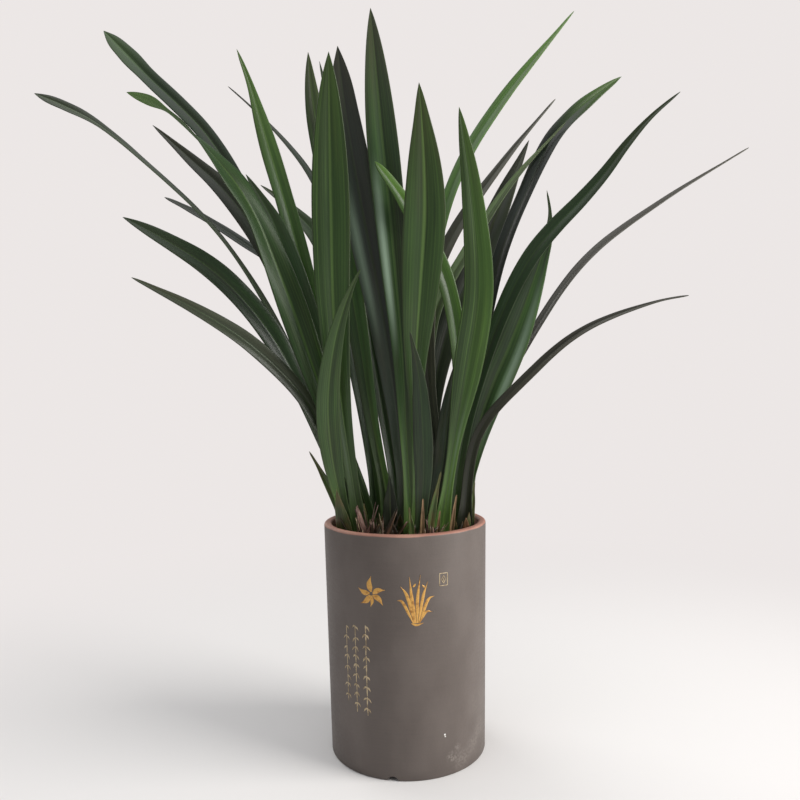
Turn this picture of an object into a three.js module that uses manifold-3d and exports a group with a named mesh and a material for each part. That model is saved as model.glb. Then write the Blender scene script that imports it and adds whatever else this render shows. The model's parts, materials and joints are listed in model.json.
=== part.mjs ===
// A strap-leaved foliage orchid in a straight-sided clay pot.
// Millimetres, +Z up. The origin is the centre of the pot's foot, on the surface that the pot stands on.
import * as THREE from "three";
import { mergeVertices } from "three/addons/utils/BufferGeometryUtils.js";
import Module from "manifold-3d";

// ---- Pot ----
const potDiameter = 160;
const potHeight = 238;
const potWall = 7.5;
const potFloor = 14;
const rimRound = 2.5; // radius on both edges of the rim
const footBevel = 1.5;
const drainHoleDiameter = 12;
const drainHoleCircle = 35; // radius of the circle that the drain holes stand on
const drainCount = 3;
const drainFirstAngle = -101; // degrees: the first drain channel opens beside the pot's front
const channelWidth = 12; // channels under the foot that let the drain holes run out
const channelDepth = 5;
const potSides = 72;

// ---- Planting ----
const soilDrop = 22; // from the rim down to the top of the bark
const seatGap = 0.3; // between pieces that rest on each other
const rootClearance = 7.5; // from the outermost leaf root to the pot's wall
const foliageHeight = 550; // from the bark to the tip of the tallest leaf

// ---- Leaves ----
const leafThickness = 1;
const rootWidth = 10; // across a leaf where it leaves the bark
const rootFold = 0.75; // rise of a leaf's edges over its keel, as a share of its half width, at the root
const bladeFold = 0.22; // the same, along the open blade
const tipWidth = 1.6;
const leafSteps = 16;
const shortLeafSteps = 6;

// ---- Worked out from the above ----
const boreRadius = potDiameter / 2 - potWall;
const soilTop = potHeight - soilDrop;
const drawnRootRadius = 65; // the clump below is drawn to stand inside this radius
const drawnFoliageHeight = 550; // and to reach this high above the bark
const plantSpread = (boreRadius - rootClearance) / drawnRootRadius;
const plantRise = foliageHeight / drawnFoliageHeight;

const deg = THREE.MathUtils.degToRad;
const up = new THREE.Vector3(0, 0, 1);
const front = new THREE.Vector3(0, -1, 0);

const tones = {
  deep: 0x2c4430,
  mid: 0x3f6138,
  light: 0x557a48,
  dusky: 0x3a3a38,
  bright: 0x6f9a4c,
  straw: 0xa08a62,
  bulb: 0x5b6b3c,
  clay: 0x4f4946,
  bark: 0x4a3428,
};

function paint(tone, roughness) {
  return new THREE.MeshStandardMaterial({ color: tones[tone], roughness, metalness: 0 });
}

const wasm = await Module();
wasm.setup();

function toSolid(geometry) {
  const bare = geometry.index ? geometry.toNonIndexed() : geometry.clone();
  bare.deleteAttribute("normal");
  bare.deleteAttribute("uv");
  const merged = mergeVertices(bare, 1e-4);
  const vertProperties = new Float32Array(merged.attributes.position.array);
  const triVerts = new Uint32Array(merged.index.array);
  return new wasm.Manifold(new wasm.Mesh({ numProp: 3, vertProperties, triVerts }));
}

function fromSolid(solid) {
  const mesh = solid.getMesh();
  const geometry = new THREE.BufferGeometry();
  geometry.setAttribute("position", new THREE.BufferAttribute(mesh.vertProperties, 3));
  geometry.setIndex(new THREE.BufferAttribute(mesh.triVerts, 1));
  const flat = geometry.toNonIndexed();
  flat.computeVertexNormals();
  return flat;
}

function named(name, geometry, material) {
  const mesh = new THREE.Mesh(geometry, material);
  mesh.name = name;
  return mesh;
}

// ---- Pot: turned body, then drain holes and the channels that lead from them to the edge ----
function arcPoints(centreR, centreZ, radius, fromAngle, toAngle, steps) {
  const points = [];
  for (let i = 0; i <= steps; i++) {
    const a = deg(fromAngle + ((toAngle - fromAngle) * i) / steps);
    points.push(new THREE.Vector2(centreR + radius * Math.cos(a), centreZ + radius * Math.sin(a)));
  }
  return points;
}

function potBody() {
  const outer = potDiameter / 2;
  const round = Math.min(rimRound, potWall * 0.45);
  const profile = [
    new THREE.Vector2(0, 0),
    new THREE.Vector2(outer - footBevel, 0),
    new THREE.Vector2(outer, footBevel),
    ...arcPoints(outer - round, potHeight - round, round, 0, 90, 4),
    ...arcPoints(boreRadius + round, potHeight - round, round, 90, 180, 4),
    new THREE.Vector2(boreRadius, potFloor),
    new THREE.Vector2(0, potFloor),
  ];
  return new THREE.LatheGeometry(profile, potSides).rotateX(Math.PI / 2);
}

function potGeometry() {
  let solid = toSolid(potBody());
  const overcut = 1; // how far a cutter stands out past the face that it opens
  for (let i = 0; i < drainCount; i++) {
    const angle = deg(drainFirstAngle + (360 / drainCount) * i);
    const hole = new THREE.CylinderGeometry(
      drainHoleDiameter / 2,
      drainHoleDiameter / 2,
      potFloor + 2 * overcut,
      24,
    );
    hole.rotateX(Math.PI / 2).translate(drainHoleCircle, 0, potFloor / 2).rotateZ(angle);
    const channelLength = potDiameter / 2 + overcut - drainHoleCircle;
    const channel = new THREE.BoxGeometry(channelLength, channelWidth, channelDepth + overcut);
    channel.translate(drainHoleCircle + channelLength / 2, 0, (channelDepth - overcut) / 2).rotateZ(angle);
    solid = solid.subtract(toSolid(hole)).subtract(toSolid(channel));
  }
  return fromSolid(solid);
}

function soilGeometry() {
  const radius = boreRadius - seatGap;
  const base = potFloor + seatGap;
  const soil = new THREE.CylinderGeometry(radius, radius, soilTop - base, potSides);
  return soil.rotateX(Math.PI / 2).translate(0, 0, (soilTop + base) / 2);
}

// ---- Leaves ----
// Share of the full width at t, from 0 at the root to 1 at the tip: a narrow stalk, a strap that is
// widest at peak, and a tip that is pointed where its power is over 1 and blunt where it is under.
function widthShare(t, { stalk, peak, tip }) {
  if (t > peak) {
    const u = (t - peak) / (1 - peak);
    return Math.pow(Math.max(1 - u * u, 0), tip);
  }
  return THREE.MathUtils.smoothstep(t, stalk, peak);
}

function alongList(values, t) {
  const place = t * (values.length - 1);
  const i = Math.min(Math.floor(place), values.length - 2);
  return THREE.MathUtils.lerp(values[i], values[i + 1], place - i);
}

// A leaf is a shallow V in section, swept along the curve through its points. Its points are measured
// from the centre of the bark's surface. turn gives the angles, evenly spaced from root to tip, by which
// the blade is rolled about its own line, from facing the front: positive rolls a leaf that leans left
// upwards, and negative one that leans right.
function leafGeometry(leaf) {
  const { points, width, turn = [0, 0], stalk = 0.08, peak = 0.6, tip = 1.1, steps = leafSteps } = leaf;
  const places = points.map((p) => new THREE.Vector3(...p));
  const curve = new THREE.CatmullRomCurve3(places, false, "centripetal");
  curve.arcLengthDivisions = 400;
  const vertices = [];
  const narrow = Math.min(rootWidth, width);
  for (let i = 0; i <= steps; i++) {
    const t = i / steps;
    const centre = curve.getPointAt(t);
    const tangent = i === 0 ? up.clone() : curve.getTangentAt(t);
    const across = tangent.clone().cross(front).normalize();
    across.applyAxisAngle(tangent, deg(alongList(turn, t)));
    const face = across.clone().cross(tangent).normalize();
    const share = widthShare(t, { stalk, peak, tip });
    const least = t > peak ? tipWidth : narrow;
    const half = Math.max(least, THREE.MathUtils.lerp(t > peak ? 0 : narrow, width, share)) / 2;
    const fold = THREE.MathUtils.lerp(rootFold, bladeFold, THREE.MathUtils.smoothstep(t, 0, 0.35));
    const rise = half * fold;
    const at = (s, n) => centre.clone().addScaledVector(across, s).addScaledVector(face, n);
    vertices.push(
      at(-half, rise),
      at(0, 0),
      at(half, rise),
      at(half, rise - leafThickness),
      at(0, -leafThickness * 1.3),
      at(-half, rise - leafThickness),
    );
  }
  const ring = 6;
  const index = [];
  for (let i = 0; i < steps; i++) {
    for (let j = 0; j < ring; j++) {
      const a = i * ring + j;
      const b = i * ring + ((j + 1) % ring);
      index.push(a, b, b + ring, a, b + ring, a + ring);
    }
  }
  const cap = (o, flip) => {
    const faces = [[0, 1, 5], [1, 4, 5], [1, 2, 4], [2, 3, 4]];
    faces.forEach(([a, b, c]) => index.push(o + a, o + (flip ? c : b), o + (flip ? b : c)));
  };
  cap(0, true);
  cap(steps * ring, false);
  const geometry = new THREE.BufferGeometry().setFromPoints(vertices);
  geometry.setIndex(index);
  const flat = geometry.toNonIndexed();
  flat.computeVertexNormals();
  return flat;
}

// ---- The clump: six fans of leaves, set round the pot as they grew ----
const leaves = {
  // left fan: sweeps out over the rim to the left
  left_fan_leaf_1: {
    points: [[-57, -7, 0], [-59, -8, 32], [-69, -14, 79], [-89, -22, 137], [-133, -36, 188],
      [-175, -50, 218], [-229, -66, 247]],
    width: 17, turn: [10, 30, 35], peak: 0.6, tip: 0.9, tone: "deep",
  },
  left_fan_leaf_2: {
    points: [[-51, 2, 0], [-54, 2, 34], [-72, 0, 84], [-97, -2, 149], [-128, -8, 209], [-166, -18, 254],
      [-205, -30, 281], [-241, -42, 301]],
    width: 25, turn: [10, 35, 35], peak: 0.65, tip: 0.6, tone: "deep",
  },
  left_fan_leaf_3: {
    points: [[-50, 12, 0], [-51, 12, 32], [-73, 15, 91], [-101, 22, 165], [-134, 32, 235],
      [-184, 48, 308], [-251, 70, 374], [-312, 88, 424], [-375, 104, 456]],
    width: 13, turn: [15, 60, 68, 60, 20], peak: 0.85, tip: 0.5, tone: "mid",
  },
  left_fan_leaf_4: {
    points: [[-42, -5, 0], [-44, -6, 31], [-57, -14, 84], [-75, -24, 146], [-104, -40, 242],
      [-129, -52, 308], [-158, -62, 347], [-188, -72, 375], [-202, -76, 384], [-216, -80, 386]],
    width: 27, turn: [5, 10, 20, 50, 130], peak: 0.5, tone: "mid",
  },
  left_fan_leaf_5: {
    points: [[-55, -16, 0], [-58, -18, 26], [-67, -30, 85], [-68, -45, 137], [-59, -62, 188],
      [-46, -76, 224], [-33, -88, 247]],
    width: 22, turn: [0, 10, 0], peak: 0.45, tone: "light",
  },
  left_fan_leaf_6: {
    points: [[-45, -18, 0], [-46, -18, 30], [-57, -34, 141], [-60, -46, 222], [-59, -52, 289],
      [-57, -60, 362], [-55, -68, 418]],
    width: 33, turn: [0, 5, 0], peak: 0.7, tip: 0.8, tone: "light",
  },

  // inner left fan
  inner_left_fan_leaf_1: {
    points: [[-37, 1, 0], [-38, 1, 32], [-53, 1, 77], [-70, 1, 131], [-95, 2, 229], [-118, 4, 305],
      [-142, 8, 348]],
    width: 28, turn: [5, 10, 15], peak: 0.65, tone: "deep",
  },
  inner_left_fan_leaf_2: {
    points: [[-46, 20, 0], [-49, 20, 31], [-65, 24, 80], [-85, 32, 152], [-130, 48, 281],
      [-171, 58, 343], [-205, 66, 376], [-247, 78, 415]],
    width: 22, turn: [10, 20, 25], peak: 0.7, tone: "dusky",
  },
  inner_left_fan_leaf_3: {
    points: [[-52, 32, 0], [-54, 32, 34], [-67, 50, 119], [-112, 80, 258], [-174, 102, 310],
      [-231, 116, 346], [-254, 122, 358]],
    width: 15, turn: [10, 45, 45], peak: 0.6, tone: "dusky",
  },
  inner_left_fan_leaf_4: {
    points: [[-41, 27, 0], [-42, 27, 30], [-55, 34, 79], [-101, 54, 210], [-155, 78, 339],
      [-199, 96, 412], [-259, 112, 473], [-307, 128, 524]],
    width: 18, turn: [10, 15, 20], peak: 0.8, tip: 0.45, tone: "deep",
  },
  inner_left_fan_leaf_5: {
    points: [[-38, 12, 0], [-39, 12, 32], [-54, 14, 81], [-66, 16, 140], [-79, 18, 199],
      [-102, 20, 300], [-122, 20, 376], [-138, 16, 436], [-145, 12, 455]],
    width: 19, turn: [0, 10, 15], peak: 0.6, tone: "light",
  },
  inner_left_fan_leaf_6: {
    points: [[-17, 6, 0], [-17, 6, 33], [-31, 10, 120], [-45, 14, 226], [-62, 20, 327], [-79, 28, 409],
      [-83, 34, 461]],
    width: 24, turn: [0, 5, 10], peak: 0.65, tip: 0.7, tone: "mid",
  },

  // centre fan: stands upright
  centre_fan_leaf_1: {
    points: [[0, 1, 0], [0, 1, 29], [-8, 1, 140], [-20, 2, 234], [-36, 4, 324], [-48, 4, 402],
      [-53, 2, 452]],
    width: 34, turn: [0, -15, -10], peak: 0.65, tip: 0.55, tone: "dusky",
  },
  centre_fan_leaf_2: {
    points: [[-7, 22, 0], [-7, 22, 33], [-26, 40, 164], [-45, 58, 289], [-65, 76, 407], [-78, 88, 475]],
    width: 16, turn: [0, 10, 10], peak: 0.6, tone: "deep",
  },
  centre_fan_leaf_3: {
    points: [[7, 22, 0], [7, 22, 33], [-5, 36, 169], [-17, 48, 296], [-35, 60, 395]],
    width: 18, turn: [0, 10, 10], peak: 0.6, tone: "deep",
  },
  centre_fan_leaf_4: {
    points: [[7, -12, 0], [7, -12, 18], [3, -14, 102], [0, -16, 186], [-7, -16, 283], [-15, -10, 378],
      [-23, 6, 484]],
    width: 29, turn: [0, -5, 0], peak: 0.7, tip: 0.8, tone: "mid",
  },
  centre_fan_leaf_5: {
    points: [[12, -24, 0], [13, -24, 27], [12, -44, 171], [16, -54, 226], [21, -66, 297],
      [20, -76, 348], [17, -84, 388]],
    width: 36, turn: [0, 0, 0], peak: 0.72, stalk: 0.25, tone: "light",
  },
  centre_fan_leaf_6: {
    points: [[15, -38, 0], [15, -38, 23], [18, -48, 76], [17, -57, 122], [14, -65, 162], [7, -73, 198]],
    width: 18, turn: [0, -10, -10], peak: 0.5, tone: "deep",
  },

  // inner right fan
  inner_right_fan_leaf_1: {
    points: [[33, -26, 0], [36, -26, 24], [49, -38, 112], [59, -48, 170], [67, -58, 233],
      [61, -68, 304], [49, -80, 371]],
    width: 27, turn: [0, -5, 0], peak: 0.5, tip: 0.75, stalk: 0.2, tone: "bright",
  },
  inner_right_fan_leaf_2: {
    points: [[27, -12, 0], [30, -12, 36], [38, -15, 82], [44, -18, 134], [53, -22, 185]],
    width: 20, turn: [0, -5, 0], peak: 0.45, tone: "dusky",
  },
  inner_right_fan_leaf_3: {
    points: [[30, 30, 0], [31, 30, 31], [31, 40, 138], [51, 54, 218], [78, 66, 275], [107, 78, 341],
      [134, 90, 399]],
    width: 29, turn: [0, -5, -10], peak: 0.65, tone: "dusky",
  },
  inner_right_fan_leaf_4: {
    points: [[39, 8, 0], [41, 8, 32], [27, 18, 148], [30, 28, 245], [52, 36, 297], [107, 48, 372],
      [154, 58, 426]],
    width: 15, turn: [0, -20, -35], peak: 0.5, tone: "dusky",
  },
  inner_right_fan_leaf_5: {
    points: [[49, 2, 0], [50, 2, 32], [55, 2, 95], [55, -5, 167], [42, -14, 245], [18, -22, 292],
      [-1, -28, 321], [-21, -34, 345]],
    width: 16, turn: [0, 10, 15], peak: 0.6, tone: "bright",
  },
  inner_right_fan_leaf_6: {
    points: [[41, 21, 0], [41, 21, 31], [26, 27, 158], [34, 36, 225], [66, 47, 283], [110, 58, 348],
      [166, 66, 407]],
    width: 12, turn: [0, -10, -15], peak: 0.5, tone: "mid",
  },

  // right fan: sweeps out over the rim to the right
  right_fan_leaf_1: {
    points: [[47, -9, 0], [48, -10, 31], [59, -18, 111], [87, -28, 205], [118, -36, 266],
      [169, -46, 320], [205, -54, 364], [233, -60, 387]],
    width: 16, turn: [0, -25, -25], peak: 0.6, tone: "deep",
  },
  right_fan_leaf_2: {
    points: [[57, -6, 0], [58, -6, 33], [75, -3, 119], [110, 8, 204], [131, 14, 261], [143, 18, 301],
      [140, 22, 333]],
    width: 34, turn: [0, -10, -10], peak: 0.5, tip: 1.6, tone: "mid",
  },
  right_fan_leaf_3: {
    points: [[58, -13, 0], [59, -14, 31], [71, -24, 107], [115, -40, 160], [158, -54, 197],
      [216, -72, 219], [241, -80, 223]],
    width: 10, turn: [0, -35, -45], peak: 0.5, tone: "dusky",
  },
  right_fan_leaf_4: {
    points: [[60, 9, 0], [61, 10, 34], [80, 24, 108], [133, 46, 203], [190, 68, 277], [269, 92, 335],
      [375, 122, 398]],
    width: 11, turn: [0, -50, -50], peak: 0.5, tone: "dusky",
  },
  right_fan_leaf_5: {
    points: [[54, 20, 0], [56, 20, 33], [73, 30, 153], [98, 44, 273], [128, 58, 344], [159, 70, 400],
      [201, 84, 439], [227, 90, 457]],
    width: 18, turn: [0, -20, -45, 0], peak: 0.75, tone: "dusky",
  },

  // back fan: leans away
  back_fan_leaf_1: {
    points: [[37, 41, 0], [37, 41, 29], [30, 60, 159], [37, 84, 292], [62, 104, 372], [106, 128, 444],
      [193, 160, 550]],
    width: 14, turn: [0, -15, -20], peak: 0.7, tone: "bright",
  },
  back_fan_leaf_2: {
    points: [[-28, 40, 0], [-28, 40, 31], [-43, 62, 139], [-69, 98, 306], [-92, 115, 371],
      [-143, 138, 437], [-185, 152, 478]],
    width: 14, turn: [0, 45, 55], peak: 0.5, tone: "dusky",
  },
  back_fan_leaf_3: {
    points: [[-29, 30, 0], [-29, 30, 33], [-50, 58, 190], [-77, 70, 291], [-112, 80, 334],
      [-143, 86, 359]],
    width: 24, turn: [0, 20, 25], peak: 0.65, tone: "deep",
  },
};

// Short sheaths that wrap the feet of the fans: living ones on the outside, dry ones in front.
const sheaths = {
  left_sheath: { points: [[-61, 5, 0], [-63, 5, 24], [-79, 4, 64], [-93, 2, 91]], width: 9, tone: "mid" },
  right_sheath: { points: [[65, -3, 0], [66, -4, 22], [69, -6, 60]], width: 6, tone: "light" },
  front_spike: { points: [[23, -42, 0], [25, -42, 30], [34, -45, 74]], width: 7, tone: "deep" },
  broad_stub: { points: [[-14, -14, 0], [-14, -14, 35], [-14, -13, 68]], width: 15, tone: "dusky" },
  dry_sheath_1: { points: [[15, -50, 0], [16, -50, 25], [17, -51, 50]], width: 7, tone: "straw" },
  dry_sheath_2: { points: [[31, -41, 0], [31, -41, 18], [33, -42, 37]], width: 6, tone: "straw" },
  dry_sheath_3: { points: [[43, -36, 0], [45, -36, 25], [49, -36, 51]], width: 7, tone: "straw" },
  green_spike: { points: [[6, -53, 0], [6, -53, 20], [4, -55, 43]], width: 6, tone: "bright" },
};

// Old leafless bulbs that stand in the bark between the fans: place on the bark and radius.
const bulbs = {
  bulb_1: { x: -28, y: -24, radius: 9 },
  bulb_2: { x: -16, y: 28, radius: 7 },
  bulb_3: { x: 18, y: 6, radius: 9 },
  bulb_4: { x: 56, y: -28, radius: 6 },
  bulb_5: { x: 14, y: 42, radius: 9 },
  bulb_6: { x: -38, y: -38, radius: 7 },
};
const bulbHeightShare = 1.3; // a bulb's height over its diameter

function bulbGeometry({ x, y, radius }) {
  const height = 2 * radius * bulbHeightShare;
  const lowest = 0.25; // the bulb is cut flat here, as a share of its height, where it meets the bark
  const profile = [new THREE.Vector2(0, 0)];
  const steps = 10;
  for (let i = 0; i <= steps; i++) {
    const z = lowest + ((1 - lowest) * i) / steps;
    const r = i === steps ? 0 : 2 * radius * Math.sqrt(z * (1 - z));
    profile.push(new THREE.Vector2(r, (z - lowest) * height));
  }
  return new THREE.LatheGeometry(profile, 16).rotateX(Math.PI / 2).translate(x, y, 0);
}

const plant = new THREE.Group();
plant.position.set(0, 0, soilTop + seatGap);
plant.scale.set(plantSpread, plantSpread, plantRise);
for (const [name, leaf] of Object.entries(leaves)) {
  plant.add(named(name, leafGeometry(leaf), paint(leaf.tone, 0.42)));
}
for (const [name, sheath] of Object.entries(sheaths)) {
  const shape = { ...sheath, peak: 0.4, tip: 1.4, steps: shortLeafSteps };
  plant.add(named(name, leafGeometry(shape), paint(sheath.tone, 0.7)));
}
for (const [name, bulb] of Object.entries(bulbs)) {
  plant.add(named(name, bulbGeometry(bulb), paint("bulb", 0.6)));
}

const group = new THREE.Group();
group.add(named("pot", potGeometry(), paint("clay", 0.8)));
group.add(named("bark_mix", soilGeometry(), paint("bark", 0.95)));
group.add(plant);

export default group;
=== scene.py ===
import bpy, bmesh, math, random
from mathutils import Matrix, Vector, noise
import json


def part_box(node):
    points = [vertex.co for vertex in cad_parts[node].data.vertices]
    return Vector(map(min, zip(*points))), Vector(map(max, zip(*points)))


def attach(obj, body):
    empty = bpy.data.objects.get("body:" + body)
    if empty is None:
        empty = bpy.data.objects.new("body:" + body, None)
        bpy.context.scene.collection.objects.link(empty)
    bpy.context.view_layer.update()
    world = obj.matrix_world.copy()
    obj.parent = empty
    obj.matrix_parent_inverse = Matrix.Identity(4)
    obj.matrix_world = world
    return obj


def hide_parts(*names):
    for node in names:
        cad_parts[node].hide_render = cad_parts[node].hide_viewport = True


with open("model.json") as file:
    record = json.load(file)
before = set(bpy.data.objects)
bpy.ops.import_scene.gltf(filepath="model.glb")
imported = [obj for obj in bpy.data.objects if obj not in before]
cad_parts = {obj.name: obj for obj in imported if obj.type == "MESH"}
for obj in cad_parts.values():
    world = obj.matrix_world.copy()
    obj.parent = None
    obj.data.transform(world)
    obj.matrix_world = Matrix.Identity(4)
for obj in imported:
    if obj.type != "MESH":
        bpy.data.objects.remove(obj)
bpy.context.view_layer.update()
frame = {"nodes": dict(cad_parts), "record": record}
bpy.ops.object.select_all(action="DESELECT")
print("stage: frame loaded,", len(frame["nodes"]), "nodes")
scene = bpy.context.scene
scene.view_settings.view_transform = "Standard"


# ---- small helpers ----
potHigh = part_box("pot")[1]
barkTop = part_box("bark_mix")[1].z
potRadius = potHigh.x
rimZ = potHigh.z


def smoothStep(value, low, high):
    t = max(0.0, min(1.0, (value - low) / (high - low)))
    return t * t * (3 - 2 * t)


def mix(a, b, t):
    return a + (b - a) * t


def makeActive(piece):
    bpy.ops.object.select_all(action="DESELECT")
    piece.select_set(True)
    bpy.context.view_layer.objects.active = piece


def applyAll(piece):
    makeActive(piece)
    for modifier in list(piece.modifiers):
        bpy.ops.object.modifier_apply(modifier=modifier.name)


def place(piece):
    makeActive(piece)
    bpy.ops.object.transform_apply(location=True, rotation=True, scale=True)


# ---- camera, floor and light ----
cameraLook = {
    "place": (0, -0.705, 0.366),
    "tiltDown": 10.34,
    "roll": -0.97,
    "lens": 32.355,
    "shiftX": -0.0061,
    "shiftY": 0.15,
}


def makeCamera():
    bpy.ops.object.camera_add(location=cameraLook["place"])
    camera = bpy.context.object
    camera.name = "camera"
    tilt = Matrix.Rotation(math.radians(90 - cameraLook["tiltDown"]), 4, "X")
    roll = Matrix.Rotation(math.radians(cameraLook["roll"]), 4, "Z")
    camera.matrix_world = Matrix.Translation(cameraLook["place"]) @ tilt @ roll
    camera.data.sensor_width = 36
    camera.data.lens = cameraLook["lens"]
    camera.data.shift_x = cameraLook["shiftX"]
    camera.data.shift_y = cameraLook["shiftY"]
    scene.camera = camera


stageLook = {
    "floorSize": 16.0,
    "floorColour": (0.80, 0.78, 0.77, 1),
    "floorFade": (0.16, 1.1),                # metres from the pot's middle
    "seenColour": (0.84, 0.80, 0.79, 1),   # what the camera sees behind the plant
    "skyColour": (0.97, 0.98, 1.0, 1),      # what lights it from all round
    "skyStrength": 0.33,
    "lamps": {
        # name: place, aimed at, size, watts, colour
        "windowLamp": ((2.0, -0.7, 1.2), (0, 0, 0.35), 1.4, 62, (1.0, 0.98, 0.95)),
        "skyLamp": ((-0.2, -0.2, 2.3), (0, 0, 0.4), 1.8, 16, (0.96, 0.98, 1.0)),
        "backLamp": ((-1.3, 1.4, 1.5), (0, 0, 0.45), 1.4, 14, (1.0, 0.99, 0.97)),
    },
}


def floorMaterial():
    # pale near the pot, and the same as the background further off, so no horizon shows
    material = bpy.data.materials.new("paleFloor")
    material.use_nodes = True
    tree = material.node_tree
    shader = tree.nodes["Principled BSDF"]
    shader.inputs["Base Color"].default_value = stageLook["floorColour"]
    shader.inputs["Roughness"].default_value = 0.85
    distant = tree.nodes.new("ShaderNodeEmission")
    distant.inputs["Color"].default_value = stageLook["seenColour"]
    point = tree.nodes.new("ShaderNodeTexCoord")
    reach = tree.nodes.new("ShaderNodeVectorMath")
    reach.operation = "LENGTH"
    fade = tree.nodes.new("ShaderNodeMapRange")
    fade.interpolation_type = "SMOOTHSTEP"
    fade.inputs[1].default_value, fade.inputs[2].default_value = stageLook["floorFade"]
    rays = tree.nodes.new("ShaderNodeLightPath")
    seen = tree.nodes.new("ShaderNodeMath")
    seen.operation = "MULTIPLY"
    chosen = tree.nodes.new("ShaderNodeMixShader")
    tree.links.new(point.outputs["Object"], reach.inputs[0])
    tree.links.new(reach.outputs["Value"], fade.inputs[0])
    tree.links.new(fade.outputs[0], seen.inputs[0])
    tree.links.new(rays.outputs["Is Camera Ray"], seen.inputs[1])
    tree.links.new(seen.outputs[0], chosen.inputs[0])
    tree.links.new(shader.outputs[0], chosen.inputs[1])
    tree.links.new(distant.outputs[0], chosen.inputs[2])
    tree.links.new(chosen.outputs[0], tree.nodes["Material Output"].inputs[0])
    return material


def makeStage():
    bpy.ops.mesh.primitive_plane_add(size=stageLook["floorSize"], location=(0, 0, 0))
    floor = bpy.context.object
    floor.name = "floor"
    floor.data.materials.append(floorMaterial())
    world = bpy.data.worlds.new("studio")
    world.use_nodes = True
    scene.world = world
    tree = world.node_tree
    seen = tree.nodes["Background"]
    seen.inputs["Color"].default_value = stageLook["seenColour"]
    sky = tree.nodes.new("ShaderNodeBackground")
    sky.inputs["Color"].default_value = stageLook["skyColour"]
    sky.inputs["Strength"].default_value = stageLook["skyStrength"]
    chosen = tree.nodes.new("ShaderNodeMixShader")
    rays = tree.nodes.new("ShaderNodeLightPath")
    tree.links.new(rays.outputs["Is Camera Ray"], chosen.inputs[0])
    tree.links.new(sky.outputs[0], chosen.inputs[1])
    tree.links.new(seen.outputs[0], chosen.inputs[2])
    tree.links.new(chosen.outputs[0], tree.nodes["World Output"].inputs[0])
    for name, (spot, target, size, watts, colour) in stageLook["lamps"].items():
        bpy.ops.object.light_add(type="AREA", location=spot)
        lamp = bpy.context.object
        lamp.name = name
        lamp.data.size = size
        lamp.data.energy = watts
        lamp.data.color = colour
        lamp.rotation_euler = (Vector(target) - Vector(spot)).to_track_quat("-Z", "Y").to_euler()


makeCamera()
makeStage()
print("stage: camera, floor and light")


# ---- node building helpers ----
def link(tree, source, target):
    tree.links.new(source, target)


def newNode(tree, kind, **settings):
    node = tree.nodes.new(kind)
    for key, value in settings.items():
        setattr(node, key, value)
    return node


def calc(tree, operation, first, second=None, third=None):
    node = newNode(tree, "ShaderNodeMath", operation=operation)
    for socket, value in zip(node.inputs, (first, second, third)):
        if value is None:
            continue
        if isinstance(value, (int, float)):
            socket.default_value = value
        else:
            link(tree, value, socket)
    return node.outputs[0]


def times(tree, first, second):
    return calc(tree, "MULTIPLY", first, second)


def blendColour(tree, share, first, second, blendType="MIX"):
    node = newNode(tree, "ShaderNodeMix", data_type="RGBA", blend_type=blendType)
    for socket, value in ((node.inputs[0], share), (node.inputs[6], first), (node.inputs[7], second)):
        if isinstance(value, (int, float, tuple)):
            socket.default_value = value
        else:
            link(tree, value, socket)
    return node.outputs[2]


def ramp(tree, value, low, high, outLow=0.0, outHigh=1.0):
    node = newNode(tree, "ShaderNodeMapRange", interpolation_type="SMOOTHSTEP")
    link(tree, value, node.inputs[0])
    for index, number in zip((1, 2, 3, 4), (low, high, outLow, outHigh)):
        if isinstance(number, (int, float)):
            node.inputs[index].default_value = number
        else:
            link(tree, number, node.inputs[index])
    return node.outputs[0]


def startGroup(name, inputs, outputs):
    tree = bpy.data.node_groups.new(name, "ShaderNodeTree")
    for label, kind in inputs:
        tree.interface.new_socket(name=label, in_out="INPUT", socket_type=kind)
    for label, kind in outputs:
        tree.interface.new_socket(name=label, in_out="OUTPUT", socket_type=kind)
    return tree, tree.nodes.new("NodeGroupInput"), tree.nodes.new("NodeGroupOutput")


def startMaterial(name, **shaderValues):
    material = bpy.data.materials.new(name)
    material.use_nodes = True
    tree = material.node_tree
    shader = tree.nodes["Principled BSDF"]
    for label, value in shaderValues.items():
        shader.inputs[label.replace("_", " ")].default_value = value
    return material, tree, shader


def addBump(tree, shader, height, strength, distance):
    bump = newNode(tree, "ShaderNodeBump")
    bump.inputs["Strength"].default_value = strength
    bump.inputs["Distance"].default_value = distance
    link(tree, height, bump.inputs["Height"])
    link(tree, bump.outputs[0], shader.inputs["Normal"])


def giveMaterial(piece, material):
    piece.data.materials.clear()
    piece.data.materials.append(material)


colourSocket, numberSocket = "NodeSocketColor", "NodeSocketFloat"
toneLabels = ("Blade", "Root", "Tip", "Vein", "Keel", "Edge", "Left Half Shading", "Right Half Shading", "Under")
numberLabels = (
    "Bloom Side", "Bloom Width", "Bloom Level", "Bloom Reach", "Bloom Share", "Vein Count", "Vein Share",
    "Keel Width", "Keel Share", "Edge Share", "Half Shading Share", "Blotch Share", "Light And Shadow Band Share", "Root Reach",
    "Tip Start", "Seed",
)


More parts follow.
